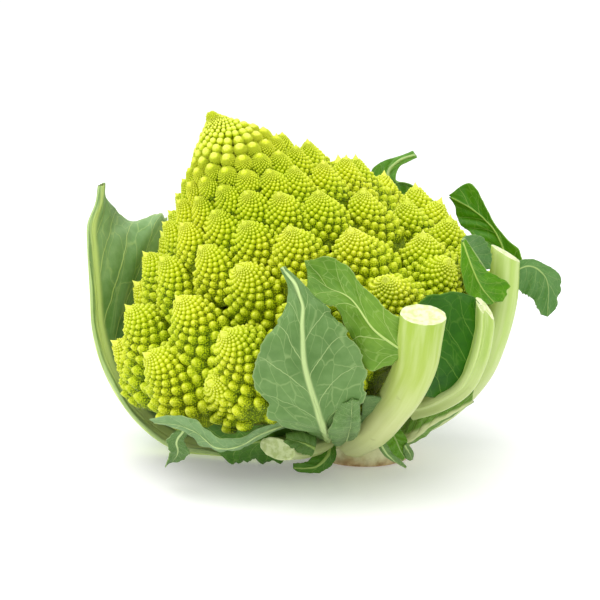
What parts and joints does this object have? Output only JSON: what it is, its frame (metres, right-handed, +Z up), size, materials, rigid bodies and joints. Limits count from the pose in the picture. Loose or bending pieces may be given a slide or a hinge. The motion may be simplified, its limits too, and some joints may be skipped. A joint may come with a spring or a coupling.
{
  "type": "romanesco head",
  "caption": "Romanesco head lying on its cut stalk: a leaning cone of spiral florets in a cup of green leaves and thick, squarely cut leaf stems.",
  "frame": {"origin": "middle of the stalk's cut end, on the surface that the head rests on", "axes": "+Z up, +X to the picture's right, +Y away from the viewer; the head leans towards -X"},
  "size_m": [0.2134, 0.2058, 0.162],
  "materials": {
    "curd": "matte, lime green, beaded",
    "stalk": "matte, cream, with a browned cut rim",
    "leaf_stem": "satin, pale green with whitish streaks",
    "leaf": "satin, blue-green with pale veins"
  },
  "bodies": {
    "root": {"curd": "curd", "stalk": "stalk", "cut_leaf_base": "leaf_stem", "front_petiole": "leaf_stem", "small_front_leaf": "leaf", "left_leaf": "leaf", "front_left_leaf": "leaf", "low_front_leaf": "leaf", "low_right_cup_leaf": "leaf", "right_low_leaf": "leaf", "grooved_petiole": "leaf_stem", "right_petiole": "leaf_stem", "right_back_leaf": "leaf", "back_leaf": "leaf", "back_left_leaf": "leaf", "back_petiole": "leaf_stem"}
  },
  "joints": []
}
